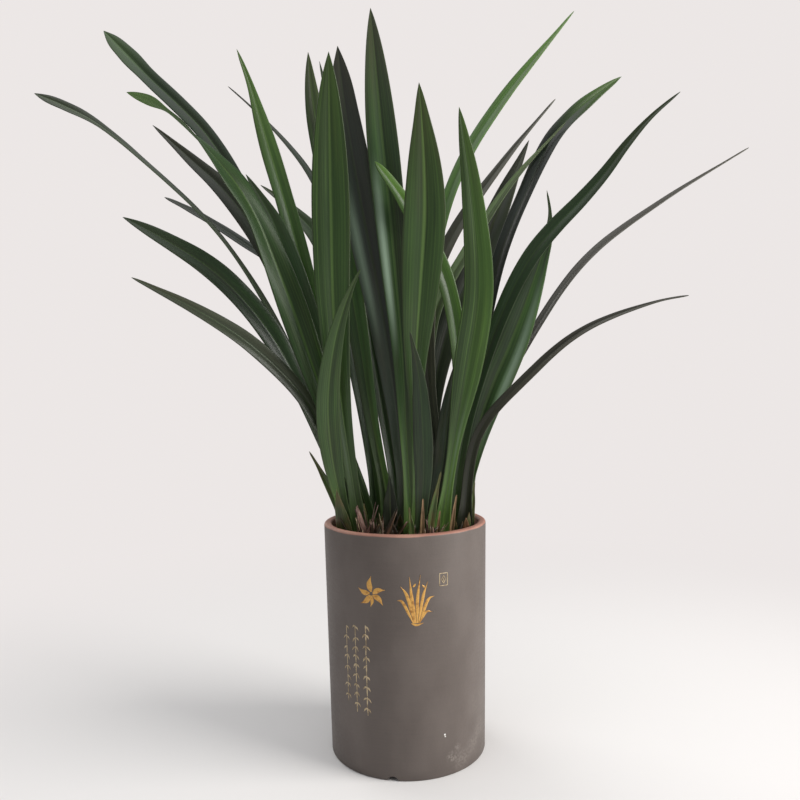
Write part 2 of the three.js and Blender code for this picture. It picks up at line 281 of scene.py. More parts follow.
# veins, keel and edges that follow the leaf's own UV: U runs across the blade, V from root to tip
def makeVeinGroup():
    tree, given, made = startGroup(
        "leafVeins",
        [(label, colourSocket) for label in (*toneLabels, "Bloom")]
        + [(label, numberSocket) for label in numberLabels],
        [("Color", colourSocket), ("Roughness", numberSocket), ("Height", numberSocket)],
    )
    g = given.outputs
    uv = newNode(tree, "ShaderNodeUVMap", uv_map="leafUv")
    parts = newNode(tree, "ShaderNodeSeparateXYZ")
    link(tree, uv.outputs[0], parts.inputs[0])
    u, v = parts.outputs[0], parts.outputs[1]
    side = calc(tree, "MULTIPLY_ADD", u, 2.0, -1.0)
    away = calc(tree, "ABSOLUTE", side)

    def streaks(across, along, detail, offset):
        spot = newNode(tree, "ShaderNodeCombineXYZ")
        link(tree, times(tree, u, across), spot.inputs[0])
        link(tree, times(tree, v, along), spot.inputs[1])
        link(tree, calc(tree, "ADD", g["Seed"], offset), spot.inputs[2])
        texture = newNode(tree, "ShaderNodeTexNoise")
        texture.inputs["Scale"].default_value = 1.0
        texture.inputs["Detail"].default_value = detail
        link(tree, spot.outputs[0], texture.inputs["Vector"])
        return texture.outputs[0]

    wander = streaks(6.0, 3.0, 2.0, 4.7)
    phase = calc(tree, "MULTIPLY_ADD", wander, 0.30, away)
    turns = times(tree, phase, g["Vein Count"])
    wave = calc(tree, "SINE", times(tree, turns, math.tau))
    waveShare = ramp(tree, wave, 0.2, 1.0)
    fine = streaks(26.0, 1.6, 1.5, 0.0)
    broad = streaks(9.0, 1.6, 2.0, 9.1)
    patch = streaks(3.0, 5.0, 3.0, 17.3)
    bands = streaks(5.0, 2.4, 3.0, 31.9)

    rootPatch = ramp(tree, patch, 0.3, 0.6, 0.55, 1.0)
    rootShare = times(tree, ramp(tree, v, g["Root Reach"], 0.0), rootPatch)
    colour = blendColour(tree, rootShare, g["Blade"], g["Root"])
    colour = blendColour(tree, times(tree, ramp(tree, v, g["Tip Start"], 1.0), 0.8), colour, g["Tip"])
    # painted light and shade: each half of the blade is multiplied lighter or darker, as if lit or shaded
    onLeft = times(tree, ramp(tree, side, 0.06, -0.10), g["Half Shading Share"])
    onRight = times(tree, ramp(tree, side, -0.06, 0.10), g["Half Shading Share"])
    colour = blendColour(tree, onLeft, colour, g["Left Half Shading"], "MULTIPLY")
    colour = blendColour(tree, onRight, colour, g["Right Half Shading"], "MULTIPLY")
    dim = times(tree, ramp(tree, patch, 0.42, 0.72), g["Blotch Share"])
    colour = blendColour(tree, dim, colour, g["Edge"])
    veinShare = times(tree, times(tree, waveShare, g["Vein Share"]), ramp(tree, broad, 0.3, 0.62))
    colour = blendColour(tree, veinShare, colour, g["Vein"])
    # painted light and shadow: streaks of the bands noise brighten the blade, others darken it as shadow
    band = blendColour(tree, 1.0, colour, (1.75, 1.7, 1.55, 1), "MULTIPLY")
    colour = blendColour(tree, times(tree, ramp(tree, bands, 0.50, 0.72), g["Light And Shadow Band Share"]), colour, band)
    shadow = blendColour(tree, 1.0, colour, (0.42, 0.44, 0.46, 1), "MULTIPLY")
    colour = blendColour(tree, times(tree, ramp(tree, bands, 0.46, 0.28), g["Light And Shadow Band Share"]), colour, shadow)
    fineShare = times(tree, ramp(tree, fine, 0.5, 0.75), 0.15)
    colour = blendColour(tree, fineShare, colour, g["Vein"])
    darkShare = times(tree, ramp(tree, fine, 0.5, 0.28), 0.22)
    dark = blendColour(tree, 1.0, colour, (0.62, 0.66, 0.6, 1), "MULTIPLY")
    colour = blendColour(tree, darkShare, colour, dark)
    keel = times(tree, ramp(tree, away, g["Keel Width"], 0.0), g["Keel Share"])
    colour = blendColour(tree, keel, colour, g["Keel"])
    edge = times(tree, ramp(tree, away, 0.9, 1.0), g["Edge Share"])
    colour = blendColour(tree, edge, colour, g["Edge"])
    # painted highlight: a pale streak of reflection along one side of the blade
    offHighlight = calc(tree, "ABSOLUTE", calc(tree, "SUBTRACT", side, g["Bloom Side"]))
    offHighlight = calc(tree, "MULTIPLY_ADD", fine, 0.16, offHighlight)
    bloom = times(tree, ramp(tree, offHighlight, g["Bloom Width"], 0.06), g["Bloom Share"])
    offLevel = calc(tree, "ABSOLUTE", calc(tree, "SUBTRACT", v, g["Bloom Level"]))
    bloom = times(tree, bloom, ramp(tree, offLevel, g["Bloom Reach"], 0.02))
    colour = blendColour(tree, bloom, colour, g["Bloom"])
    under = newNode(tree, "ShaderNodeAttribute", attribute_name="underside")
    pale = blendColour(tree, 0.6, colour, g["Under"])
    colour = blendColour(tree, under.outputs["Fac"], colour, pale)
    rough = calc(tree, "ADD", times(tree, fine, 0.16), 0.30)
    rough = calc(tree, "ADD", rough, times(tree, under.outputs["Fac"], 0.14))
    height = calc(tree, "MULTIPLY_ADD", waveShare, 0.6, times(tree, fine, 0.18))
    height = times(tree, height, ramp(tree, v, 0.75, 0.25))
    link(tree, colour, made.inputs["Color"])
    link(tree, rough, made.inputs["Roughness"])
    link(tree, height, made.inputs["Height"])
    return tree


veinGroup = makeVeinGroup()


def rgb(red, green, blue):
    # screen colour, 0 to 255, to the linear values that a shader takes
    def linear(value):
        value /= 255
        return value / 12.92 if value <= 0.04045 else ((value + 0.055) / 1.055) ** 2.4
    return (linear(red), linear(green), linear(blue), 1)


def palette(*shades):
    return {label: rgb(*shade) for label, shade in zip(toneLabels, shades)}


def leafMaterial(name, look):
    material, tree, shader = startMaterial(
        name, Coat_Weight=look.get("coat", 0.10), Coat_Roughness=0.26,
        Specular_IOR_Level=look.get("gloss", 0.33))
    veins = newNode(tree, "ShaderNodeGroup", node_tree=veinGroup)
    for label, value in look.items():
        # the two half tones become factors of painted light and shade beside the blade
        if label in ("Left Half Shading", "Right Half Shading"):
            value = tuple(part / blade for part, blade in zip(value, look["Blade"]))
        if label in veins.inputs:
            veins.inputs[label].default_value = value
    link(tree, veins.outputs["Color"], shader.inputs["Base Color"])
    link(tree, veins.outputs["Roughness"], shader.inputs["Roughness"])
    addBump(tree, shader, veins.outputs["Height"], 0.3, 0.0003)
    return material


# ---- leaves ----
def leafRings(node):
    # the CAD leaf is a row of six-cornered sections; they are read back one by one, from the bark to the
    # tip
    mesh = bmesh.new()
    mesh.from_mesh(frame["nodes"][node].data)
    bmesh.ops.remove_doubles(mesh, verts=mesh.verts, dist=1e-6)
    lowest = min(v.co.z for v in mesh.verts)
    first = [v for v in mesh.verts if v.co.z < lowest + 1e-5]
    widest = max(((a.co - b.co).length, i, j) for i, a in enumerate(first) for j, b in enumerate(first))
    line = (first[widest[1]].co - first[widest[2]].co).normalized()
    ordered = sorted(first, key=lambda v: v.co.dot(line))
    outer = sum(((v.co) for v in ordered[:2] + ordered[4:]), Vector()) / 4
    middle = (ordered[2].co + ordered[3].co) / 2
    face = (outer - middle).normalized()
    across = Vector((0, 0, 1)).cross(face)
    ordered = sorted(first, key=lambda v: v.co.dot(across))
    pairs = [sorted(ordered[i:i + 2], key=lambda v: v.co.dot(face)) for i in (0, 2, 4)]
    ring = [pairs[0][1], pairs[1][1], pairs[2][1], pairs[2][0], pairs[1][0], pairs[0][0]]
    seen = set(ring)
    rings = [[v.co.copy() for v in ring]]
    while True:
        reached = {}
        for label, vertex in enumerate(ring):
            for edge in vertex.link_edges:
                other = edge.other_vert(vertex)
                if other not in seen:
                    reached.setdefault(other, set()).add(label)
        if not reached:
            break
        following = [None] * 6
        for vertex, labels in reached.items():
            for label in labels:
                if (label - 1) % 6 in labels:
                    following[label] = vertex
        ring = following
        seen.update(ring)
        rings.append([v.co.copy() for v in ring])
    mesh.free()
    return rings


def curveAt(values, place):
    # smooth curve through evenly spaced values
    last = len(values) - 1
    i = min(int(place), last - 1)
    t = place - i
    before = values[i - 1] if i > 0 else values[0] * 2 - values[1]
    after = values[i + 2] if i + 2 <= last else values[last] * 2 - values[last - 1]
    a, b = values[i], values[i + 1]
    return 0.5 * ((2 * a) + (b - before) * t + (2 * before - 5 * a + 4 * b - after) * t * t
                  + (3 * a - before - 3 * b + after) * t ** 3)


leafShape = {
    "columns": 12,
    "rows": 72,
    "thickness": 0.0009,
    "arch": 0.07,          # how far each half stands up between keel and edge, as a share of its width
    "keelRound": 1.25,     # over 1 rounds the bottom of the fold
    "waveHeight": 0.045,   # wave of the edges, as a share of the half width
    "waveCount": 3.4,
    "tipLength": 0.022,    # share of the leaf's length over which the tip rounds off
    "footSpread": 1.75,    # the foot clasps the fan, so it is broader than the blade just above it
    "footReach": 0.17,     # share of the leaf's length over which that fades out
    # (share of the length, share of the width) where a blade turns its side to the front
    "widths": [],
}


def widthAt(stops, t):
    if not stops:
        return 1.0
    if t <= stops[0][0]:
        return mix(1.0, stops[0][1], smoothStep(t, 0.0, max(stops[0][0], 0.001)))
    for (t1, w1), (t2, w2) in zip(stops, stops[1:]):
        if t <= t2:
            return mix(w1, w2, smoothStep(t, t1, t2))
    return stops[-1][1]


def makeLeaf(name, look, shape=None):
    shape = {**leafShape, **(shape or {})}
    rings = leafRings(name)
    left = [r[0] for r in rings]
    keel = [r[1] for r in rings]
    right = [r[2] for r in rings]
    columns, rows = shape["columns"], shape["rows"]
    dice = random.Random(name)
    phase = [dice.uniform(0, math.tau), dice.uniform(0, math.tau)]
    waveCount = shape["waveCount"] * dice.uniform(0.7, 1.3)
    bpy.ops.mesh.primitive_grid_add(x_subdivisions=columns, y_subdivisions=rows, size=1, location=(0, 0, 0))
    leaf = bpy.context.object
    leaf.name = name + "_blade"
    mesh = leaf.data
    mesh.uv_layers[0].name = "leafUv"
    last = len(rings) - 1
    for vertex in mesh.vertices:
        s = vertex.co.x * 2
        t = min(max(vertex.co.y + 0.5, 0.0), 1.0)
        place = t * last
        centre = curveAt(keel, place)
        a = abs(s)
        leftPoint, rightPoint = curveAt(left, place), curveAt(right, place)
        across = (rightPoint - leftPoint)
        foot = mix(shape["footSpread"], 1.0, smoothStep(t, 0.0, shape["footReach"]))
        half = across.length / 2 * foot * widthAt(shape["widths"], t)
        across.normalize()
        rise = (leftPoint + rightPoint) / 2 - centre
        face = rise.normalized() if rise.length > 1e-7 else Vector((0, 0, 1))
        tipShare = 1.0
        if t > 1 - shape["tipLength"]:
            u = (t - 1 + shape["tipLength"]) / shape["tipLength"]
            tipShare = math.sqrt(max(1 - u * u, 0.0)) * 0.9 + 0.1 * (1 - u)
        lean = 1 if s >= 0 else -1
        out = across * (lean * half * a)
        lift = face * (rise.length * a ** shape["keelRound"])
        open_ = smoothStep(t, 0.08, 0.35)
        arch = face * (half * shape["arch"] * math.sin(math.pi * a) * open_)
        ripple = math.sin(math.tau * waveCount * t + phase[0 if s < 0 else 1])
        wave = face * (half * shape["waveHeight"] * a * a * ripple * open_)
        vertex.co = centre + (out + lift + arch + wave) * tipShare
    base = len(mesh.vertices)
    solid = leaf.modifiers.new("thickness", "SOLIDIFY")
    solid.thickness = shape["thickness"]
    solid.offset = -1
    solid.use_even_offset = False
    applyAll(leaf)
    marks = leaf.data.attributes.new("underside", "FLOAT", "POINT")
    marks.data.foreach_set("value", [0.0 if i < base else 1.0 for i in range(len(leaf.data.vertices))])
    smooth = leaf.modifiers.new("smooth", "SUBSURF")
    smooth.levels = smooth.render_levels = 1
    applyAll(leaf)
    makeActive(leaf)
    bpy.ops.object.shade_smooth()
    giveMaterial(leaf, leafMaterial(name + "Finish", look))
    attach(leaf, "root")
    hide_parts(name)
    return leaf


slotOf = {entry["node"]: entry["material_slot"] for entry in frame["record"]["subparts"]}

# the two half tones in each palette are painted light and shade on the blade's halves
leafTones = {
    "leaf_deep": palette(
        (36, 56, 30), (58, 80, 38), (40, 56, 30), (62, 90, 48), (84, 112, 60),
        (34, 40, 24), (40, 62, 36), (30, 46, 26), (74, 98, 62),
    ),
    "leaf_mid": palette(
        (44, 68, 32), (66, 90, 40), (50, 70, 32), (74, 106, 50), (104, 132, 70),
        (40, 50, 26), (50, 78, 40), (36, 56, 28), (92, 118, 72),
    ),
    "leaf_light": palette(
        (52, 78, 34), (76, 102, 44), (62, 86, 38), (88, 122, 56), (124, 156, 84),
        (50, 64, 32), (58, 86, 42), (42, 66, 30), (104, 134, 80),
    ),
    "leaf_dusky": palette(
        (31, 45, 28), (46, 62, 32), (46, 52, 32), (50, 68, 42), (72, 86, 54),
        (38, 32, 22), (36, 50, 36), (26, 34, 24), (72, 84, 60),
    ),
    "leaf_bright": palette(
        (60, 90, 36), (96, 130, 60), (70, 98, 40), (104, 142, 66), (48, 70, 32),
        (60, 76, 36), (48, 76, 34), (84, 120, 54), (120, 150, 84),
    ),
}
leafNumbers = {
    "Vein Count": 6.0, "Vein Share": 0.28, "Keel Width": 0.12, "Keel Share": 0.3, "Edge Share": 0.5,
    "Half Shading Share": 0.9, "Blotch Share": 0.35, "Light And Shadow Band Share": 0.55, "Root Reach": 0.34, "Tip Start": 0.72,
    "Seed": 0.0,
    "Bloom Width": 0.4, "Bloom Level": 0.4, "Bloom Reach": 0.25, "Bloom Share": 0.0,
}
# painted light and shade: how light or dark each half of a leaf is painted beside its tone, by which half
# the light falls on, and where a leaf differs from the rest
leafLooks = {
    "left_fan_leaf_1": {"left": 0.75, "right": 0.95, "wash": 0.3, "rootReach": 0.6},
    "left_fan_leaf_2": {"left": 0.62, "right": 1.15},
    "left_fan_leaf_3": {"left": 0.7, "right": 0.55, "wash": 0.25, "rootReach": 0.5,
                        "widths": [(0.40, 1.0), (0.56, 0.62), (0.84, 0.58), (0.93, 1.05), (0.985, 1.7)]},
    "left_fan_leaf_4": {"left": 0.75, "right": 1.0, "tip": 2.2, "tipGreen": 1.0, "brown": 0.0,
                        "tipStart": 0.88,
                        "coat": 0.02, "gloss": 0.2,
                        "widths": [(0.70, 1.0), (0.80, 1.7), (0.88, 2.3), (0.925, 0.7), (0.96, 3.4),
                                   (0.985, 3.2)]},
    "left_fan_leaf_5": {"left": 0.85, "right": 0.95, "root": 1.3},
    "left_fan_leaf_6": {"left": 0.55, "right": 1.0, "band": 0.6, "root": 0.7,
                        "bloom": (-0.45, 0.35, 0.30, 0.22, 0.10)},
    "inner_left_fan_leaf_1": {"left": 0.85, "right": 1.6, "root": 1.6},
    "inner_left_fan_leaf_2": {"left": 0.60, "right": 0.9, "wash": 0.15, "coat": 0.04, "gloss": 0.22},
    "inner_left_fan_leaf_3": {"left": 0.65, "right": 0.8,
                              "widths": [(0.66, 0.8), (0.86, 1.25), (0.94, 2.1), (0.98, 2.3)]},
    "inner_left_fan_leaf_4": {"left": 0.6, "right": 0.65, "tip": 1.1, "tipGreen": 0.7, "brown": 0.1,
                              "coat": 0.04,
                              "tipStart": 0.84,
                              "widths": [(0.74, 1.0), (0.88, 1.05), (0.94, 1.4), (0.985, 2.1)]},
    "inner_left_fan_leaf_5": {"left": 1.2, "right": 1.8, "tip": 1.3,
                              "widths": [(0.7, 1.0), (0.86, 1.4), (0.95, 1.3)]},
    "inner_left_fan_leaf_6": {"left": 0.62, "right": 2.2, "root": 1.7, "brown": 0.5},
    "centre_fan_leaf_1": {"left": 1.2, "right": 0.75, "coat": 0.4, "gloss": 0.5, "brown": 0.3,
                          "bloom": (-0.60, 0.5, 0.60, 0.20, 0.6)},
    "centre_fan_leaf_2": {"left": 0.7, "right": 1.3},
    "centre_fan_leaf_3": {"left": 1.0, "right": 1.3},
    "centre_fan_leaf_4": {"left": 1.0, "right": 0.8, "root": 2.0, "brown": 0.6, "coat": 0.2,
                          "bloom": (-0.60, 0.5, 0.55, 0.20, 0.95)},
    "centre_fan_leaf_5": {"left": 0.75, "right": 1.15, "root": 1.5, "brown": 0.45, "keel": 0.5,
                          "bloom": (0.35, 0.4, 0.30, 0.20, 0.20)},
    "centre_fan_leaf_6": {"left": 0.50, "right": 1.5, "brown": 0.3},
    "inner_right_fan_leaf_1": {"left": 0.55, "right": 1.05, "root": 1.9, "keel": 0.2,
                               "bloom": (0.45, 0.4, 0.22, 0.20, 0.28)},
    "inner_right_fan_leaf_2": {"left": 0.75, "right": 0.95, "brown": 0.4, "root": 0.6},
    "inner_right_fan_leaf_3": {"left": 0.45, "right": 1.4, "tip": 1.6, "wash": 0.1},
    "inner_right_fan_leaf_4": {"left": 0.70, "right": 2.0, "tip": 1.6, "brown": 0.4, "wash": 0.4,
                               "rootReach": 0.5,
                               "root": 0.6},
    "inner_right_fan_leaf_5": {"left": 0.75, "right": 1.0, "tip": 1.25, "tipGreen": 0.8, "brown": 0.0,
                               "widths": [(0.62, 1.0), (0.80, 1.4), (0.90, 2.0), (0.98, 3.0)]},
    "inner_right_fan_leaf_6": {"left": 2.6, "right": 2.3, "wash": 0.25},
    "right_fan_leaf_1": {"left": 1.1, "right": 1.3, "root": 1.5, "brown": 0.3},
    "right_fan_leaf_2": {"left": 0.45, "right": 1.7, "band": 1.0, "coat": 0.3,
                         "bloom": (0.62, 0.45, 0.50, 0.35, 0.55)},
    "right_fan_leaf_3": {"left": 0.8, "right": 1.3, "under": 1.5, "wash": 0.55, "rootReach": 0.62,
                         "root": 0.55},
    "right_fan_leaf_4": {"left": 0.75, "right": 1.1, "under": 1.3, "wash": 0.75, "rootReach": 0.62,
                         "root": 0.5},
    "right_fan_leaf_5": {"left": 0.42, "right": 0.36, "tip": 2.3, "tipGreen": 1.0, "brown": 0.0,
                         "coat": 0.05,
                         "tipStart": 0.80, "widths": [(0.84, 1.0), (0.93, 1.4), (0.98, 1.5)]},
    "back_fan_leaf_1": {"left": 1.55, "right": 1.5, "tip": 1.4},
    "back_fan_leaf_2": {"left": 0.8, "right": 0.9},
    "back_fan_leaf_3": {"left": 0.9, "right": 1.8, "brown": 0.4, "root": 1.6},
}
oliveBrown = rgb(58, 50, 34)
greyBrown = rgb(84, 78, 70)   # the side of a leaf that has turned over
tipGreen = rgb(74, 104, 44)
# painted highlight: a pale streak of reflection painted on the blade; its five numbers are side, width,
# level, reach, share
paintedHighlight = rgb(150, 172, 150)


def shaded(colour, share):
    return (colour[0] * share, colour[1] * share, colour[2] * share, 1)


def tinted(colour, other, share):
    return tuple(mix(a, b, share) for a, b in zip(colour, other))


def lookOf(node, seed):
    tones = {key: shaded(colour, toneDepth) for key, colour in leafTones[slotOf[node]].items()}
    own = leafLooks[node]
    blade = tones["Blade"]
    # painted light and shade on the two halves of the leaf
    tones["Left Half Shading"] = shaded(tinted(blade, tones["Left Half Shading"], 0.5), own["left"])
    tones["Right Half Shading"] = shaded(tinted(blade, tones["Right Half Shading"], 0.3), own["right"])
    tones["Root"] = shaded(tones["Root"], own.get("root", 0.9))
    tones["Tip"] = tinted(shaded(tones["Tip"], own.get("tip", 1.0)), oliveBrown, own.get("brown", 0.15))
    tones["Edge"] = tinted(tones["Edge"], oliveBrown, 0.3 + own.get("brown", 0.0) * 0.7)
    tones["Tip"] = tinted(tones["Tip"], shaded(tipGreen, own.get("tip", 1.0)), own.get("tipGreen", 0.0))
    tones["Under"] = shaded(tones["Under"], own.get("under", 1.0))
    for key in ("Blade", "Left Half Shading", "Right Half Shading", "Vein", "Tip"):
        part = {"Left Half Shading": own["left"], "Right Half Shading": own["right"]}.get(key, 1.0)
        tones[key] = tinted(tones[key], shaded(greyBrown, part), own.get("wash", 0.0))
    look = {**tones, **leafNumbers, "Seed": seed}
    # share of the painted light and shadow bands
    look["Light And Shadow Band Share"] = own.get("band", 0.55)
    look["Keel Share"] = own.get("keel", 0.28)
    look["Root Reach"] = own.get("rootReach", leafNumbers["Root Reach"])
    look["Tip Start"] = own.get("tipStart", leafNumbers["Tip Start"])
    # a painted highlight streak on this leaf
    if "bloom" in own:
        look["Bloom"] = paintedHighlight
        highlightLabels = ("Bloom Side", "Bloom Width", "Bloom Level", "Bloom Reach", "Bloom Share")
        look.update(zip(highlightLabels, own["bloom"]))
    for key in ("coat", "gloss"):
        if key in own:
            look[key] = own[key]
    return look


toneDepth = 0.80
leafNodes = [node for node in sorted(frame["nodes"]) if "_leaf_" in node]
for index, node in enumerate(leafNodes):
    piece = makeLeaf(node, lookOf(node, index * 3.17), {"widths": leafLooks[node].get("widths", [])})
print("stage:", len(leafNodes), "leaves")


# ---- patterns shared by the clay, bark and dry pieces ----
def makeGrainGroup():
    # stretched noise in Object coordinates: a mask, a finer mask and a height
    tree, given, made = startGroup(
        "stretchedGrain",
        [("Vector", "NodeSocketVector"), ("Stretch", "NodeSocketVector"), ("Scale", numberSocket),
         ("Fine Scale", numberSocket), ("Low", numberSocket), ("High", numberSocket)],
        [("Broad", numberSocket), ("Fine", numberSocket), ("Height", numberSocket)],
    )
    g = given.outputs
    stretched = newNode(tree, "ShaderNodeVectorMath", operation="MULTIPLY")
    link(tree, g["Vector"], stretched.inputs[0])
    link(tree, g["Stretch"], stretched.inputs[1])
    broad = newNode(tree, "ShaderNodeTexNoise")
    link(tree, stretched.outputs[0], broad.inputs["Vector"])
    link(tree, g["Scale"], broad.inputs["Scale"])
    broad.inputs["Detail"].default_value = 4
    fine = newNode(tree, "ShaderNodeTexNoise")
    link(tree, g["Vector"], fine.inputs["Vector"])
    link(tree, g["Fine Scale"], fine.inputs["Scale"])
    fine.inputs["Detail"].default_value = 5
    link(tree, ramp(tree, broad.outputs[0], g["Low"], g["High"]), made.inputs["Broad"])
    link(tree, ramp(tree, fine.outputs[0], 0.35, 0.65), made.inputs["Fine"])
    height = calc(tree, "MULTIPLY_ADD", broad.outputs[0], 0.7, times(tree, fine.outputs[0], 0.3))
    link(tree, height, made.inputs["Height"])
    return tree


grainGroup = makeGrainGroup()


def objectPoint(tree):
    return newNode(tree, "ShaderNodeTexCoord").outputs["Object"]


def grain(tree, vector, stretch, scale, fineScale, low=0.35, high=0.65):
    node = newNode(tree, "ShaderNodeGroup", node_tree=grainGroup)
    link(tree, vector, node.inputs["Vector"])
    node.inputs["Stretch"].default_value = stretch
    for label, value in (("Scale", scale), ("Fine Scale", fineScale), ("Low", low), ("High", high)):
        node.inputs[label].default_value = value
    return node.outputs


def spotMask(tree, point, centre, radius, soft):
    # 1 within radius of a point on the piece, fading out over soft
    away = newNode(tree, "ShaderNodeVectorMath", operation="DISTANCE")
    link(tree, point, away.inputs[0])
    away.inputs[1].default_value = centre
    return ramp(tree, away.outputs["Value"], radius + soft, radius)


def onPot(angle, height, outward=0.0):
    # angle in degrees round the pot from its front, positive to the right
    a = math.radians(angle)
    reach = potRadius + outward
    return Vector((reach * math.sin(a), -reach * math.cos(a), height))


# ---- pot ----
potLook = {
    "sides": 192,
    "rimRound": 0.0026,
    "footRound": 0.0014,
    "clay": rgb(100, 91, 86),
    "clayDark": rgb(90, 81, 76),
    "clayPale": rgb(118, 108, 102),
    "redClay": rgb(156, 108, 93),
    "redClayInShade": rgb(92, 58, 48),
    "smudge": rgb(172, 164, 156),
    "gap": 0.0003,           # between the bark and the clay
    "drainRadius": 0.006,
    "drainDepth": 0.04,
    "channelRadius": 0.0056,
    "channelLength": 0.06,
    "scuffs": [
        # degrees round the pot, height, size, how strong
        (31, 0.019, 0.006, 0.4), (36, 0.027, 0.004, 0.3), (52, 0.022, 0.011, 0.2),
        (62, 0.034, 0.012, 0.22), (60, 0.062, 0.02, 0.12), (40, 0.012, 0.012, 0.22),
    ],
}


def makePot():
    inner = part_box("bark_mix")[1].x + potLook["gap"]
    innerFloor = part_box("bark_mix")[0].z - potLook["gap"]
    bpy.ops.mesh.primitive_cylinder_add(
        vertices=potLook["sides"], radius=potRadius, depth=rimZ, location=(0, 0, rimZ / 2))
    pot = bpy.context.object
    pot.name = "pot_body"
    place(pot)
    bpy.ops.object.mode_set(mode="EDIT")
    bpy.ops.mesh.select_all(action="DESELECT")
    work = bmesh.from_edit_mesh(pot.data)
    for face in work.faces:
        face.select = face.normal.z > 0.9
    bmesh.update_edit_mesh(pot.data)
    bpy.ops.mesh.inset(thickness=potRadius - inner)
    bpy.ops.mesh.extrude_region_move(TRANSFORM_OT_translate={"value": (0, 0, innerFloor - rimZ)})

    def bevelEdges(chosen, width, segments):
        bpy.ops.mesh.select_all(action="DESELECT")
        work = bmesh.from_edit_mesh(pot.data)
        work.select_mode = {"EDGE"}
        for edge in work.edges:
            edge.select = chosen((edge.verts[0].co + edge.verts[1].co) / 2, edge)
        work.select_flush_mode()
        bmesh.update_edit_mesh(pot.data)
        bpy.ops.mesh.bevel(offset=width, segments=segments, affect="EDGES")

    def flat(edge):
        return abs(edge.verts[0].co.z - edge.verts[1].co.z) < 1e-6

    bpy.ops.mesh.select_mode(type="EDGE")
    bevelEdges(lambda c, e: flat(e) and c.z > rimZ - 1e-5 and abs(c.xy.length - potRadius) < 4e-4
               and e.calc_face_angle(0) > 1, potLook["rimRound"], 5)
    bevelEdges(lambda c, e: flat(e) and c.z > rimZ - 1e-5 and abs(c.xy.length - inner) < 4e-4
               and e.calc_face_angle(0) > 1, potLook["rimRound"], 5)
    bevelEdges(lambda c, e: flat(e) and c.z < 1e-5 and abs(c.xy.length - potRadius) < 4e-4,
               potLook["footRound"], 3)
    bpy.ops.object.mode_set(mode="OBJECT")
    # drain holes and the channels under the foot, where the record's openings are
    holes = [entry["box_m"] for entry in frame["record"]["physics"]["openings"] if "drain" in entry["name"]]
    for low, high in holes:
        x, y = (low[0] + high[0]) / 2, (low[1] + high[1]) / 2
        turn = math.atan2(y, x)
        reach = math.hypot(x, y)
        bpy.ops.mesh.primitive_cylinder_add(
            vertices=40, radius=potLook["drainRadius"], depth=potLook["drainDepth"], location=(x, y, 0.008))
        cutHole = bpy.context.object
        length = potLook["channelLength"]
        middle = reach + length / 2
        bpy.ops.mesh.primitive_cylinder_add(
            vertices=40, radius=potLook["channelRadius"], depth=length, rotation=(0, math.pi / 2, turn),
            location=(middle * math.cos(turn), middle * math.sin(turn), -0.0008))
        cutChannel = bpy.context.object
        for cutter in (cutHole, cutChannel):
            place(cutter)
            cut = pot.modifiers.new("cut", "BOOLEAN")
            cut.operation, cut.solver, cut.object = "DIFFERENCE", "EXACT", cutter
            applyAll(pot)
            bpy.data.objects.remove(cutter)
    makeActive(pot)
    bpy.ops.object.shade_smooth_by_angle(angle=math.radians(32))
    return pot, inner


